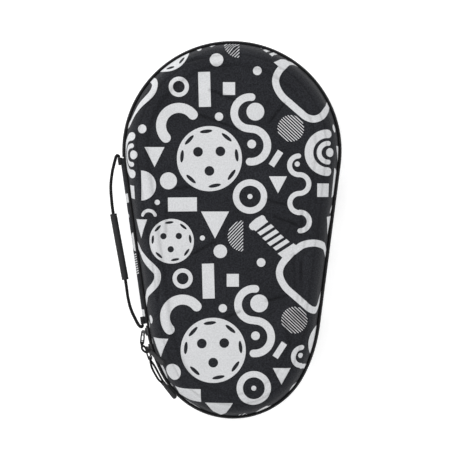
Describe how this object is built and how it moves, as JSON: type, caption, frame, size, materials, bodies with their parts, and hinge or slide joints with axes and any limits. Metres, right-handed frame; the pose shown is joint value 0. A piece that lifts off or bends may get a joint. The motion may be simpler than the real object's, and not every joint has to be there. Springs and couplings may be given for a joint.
{
  "type": "pickleball paddle case",
  "caption": "Moulded clamshell case for a pickleball paddle, with a printed fabric cover, a two-way zip and a cord carry handle.",
  "frame": {"origin": "centre of the flat rear face", "axes": "+Z towards the printed front face, +Y along the case towards its round top end, +X away from the spine"},
  "size_m": [0.268, 0.4385, 0.075],
  "materials": {
    "printed_fabric": "matte",
    "foam": "matte",
    "lining": "matte",
    "webbing": "matte",
    "net": "matte",
    "zip_teeth": "satin",
    "cord": "matte",
    "grip": "satin",
    "slider_metal": "satin",
    "pull_metal": "satin",
    "pull_tip": "satin"
  },
  "bodies": {
    "rear_half": {"rear_cover": "printed_fabric", "rear_shell": "foam", "rear_lining": "lining", "rear_piping": "webbing", "rear_zip_tape": "webbing", "rear_zip_coil": "zip_teeth", "rear_binding": "webbing", "paddle_strap": "webbing"},
    "spine": {"spine_panel": "printed_fabric", "spine_lining": "lining", "top_anchor": "webbing", "bottom_anchor": "webbing"},
    "front_half": {"front_cover": "printed_fabric", "front_shell": "foam", "front_lining": "lining", "front_piping": "webbing", "front_zip_tape": "webbing", "front_zip_coil": "zip_teeth", "front_binding": "webbing", "mesh_pocket": "net", "pocket_elastic": "webbing"},
    "handle": {"handle_cord": "cord", "handle_grip": "grip"},
    "upper_slider": {"upper_slider": "slider_metal"},
    "upper_tab": {"upper_pull_tab": "pull_metal"},
    "upper_pull": {"upper_pull_cord": "cord", "upper_pull_tip": "pull_tip"},
    "lower_slider": {"lower_slider": "slider_metal"},
    "lower_tab": {"lower_pull_tab": "pull_metal"},
    "lower_pull": {"lower_pull_cord": "cord", "lower_pull_tip": "pull_tip"}
  },
  "joints": [
    {"name": "spine_fold", "type": "hinge", "parent": "rear_half", "child": "spine", "pos_m": [-0.12784, 0.07472, 0.0295], "axis": [0.134, -0.991, 0], "range_deg": [0, 90]},
    {"name": "front_fold", "type": "hinge", "parent": "spine", "child": "front_half", "pos_m": [-0.12784, 0.07472, 0.0455], "axis": [0.134, -0.991, 0], "range_deg": [0, 90]},
    {"name": "handle_swing", "type": "hinge", "parent": "spine", "child": "handle", "pos_m": [-0.12883, 0.07458, 0.0375], "axis": [0.134, -0.991, 0], "range_deg": [-40, 40]},
    {"name": "upper_slider_travel", "type": "hinge", "parent": "front_half", "child": "upper_slider", "pos_m": [0.06887, -0.08898, 0.0375], "axis": [0, 0, 1], "range_deg": [-0.7, 0]},
    {"name": "upper_tab_swing", "type": "hinge", "parent": "upper_slider", "child": "upper_tab", "pos_m": [-0.10432, -0.11796, 0.0375], "axis": [0, 0, 1], "range_deg": [-40, 0]},
    {"name": "upper_pull_swing", "type": "hinge", "parent": "upper_tab", "child": "upper_pull", "pos_m": [-0.10558, -0.1299, 0.0375], "axis": [0, 0, 1], "range_deg": [-35, 0]},
    {"name": "lower_slider_travel", "type": "hinge", "parent": "front_half", "child": "lower_slider", "pos_m": [0.06887, -0.08898, 0.0375], "axis": [0, 0, 1], "range_deg": [0, 11]},
    {"name": "lower_tab_swing", "type": "hinge", "parent": "lower_slider", "child": "lower_tab", "pos_m": [-0.1001, -0.13679, 0.0375], "axis": [0, 0, 1], "range_deg": [-25, 0]},
    {"name": "lower_pull_swing", "type": "hinge", "parent": "lower_tab", "child": "lower_pull", "pos_m": [-0.09639, -0.14821, 0.0375], "axis": [0, 0, 1], "range_deg": [-25, 0]}
  ],
  "couplings": [
    {"joint": "spine_fold", "follows": "front_fold", "ratio": 1}
  ]
}
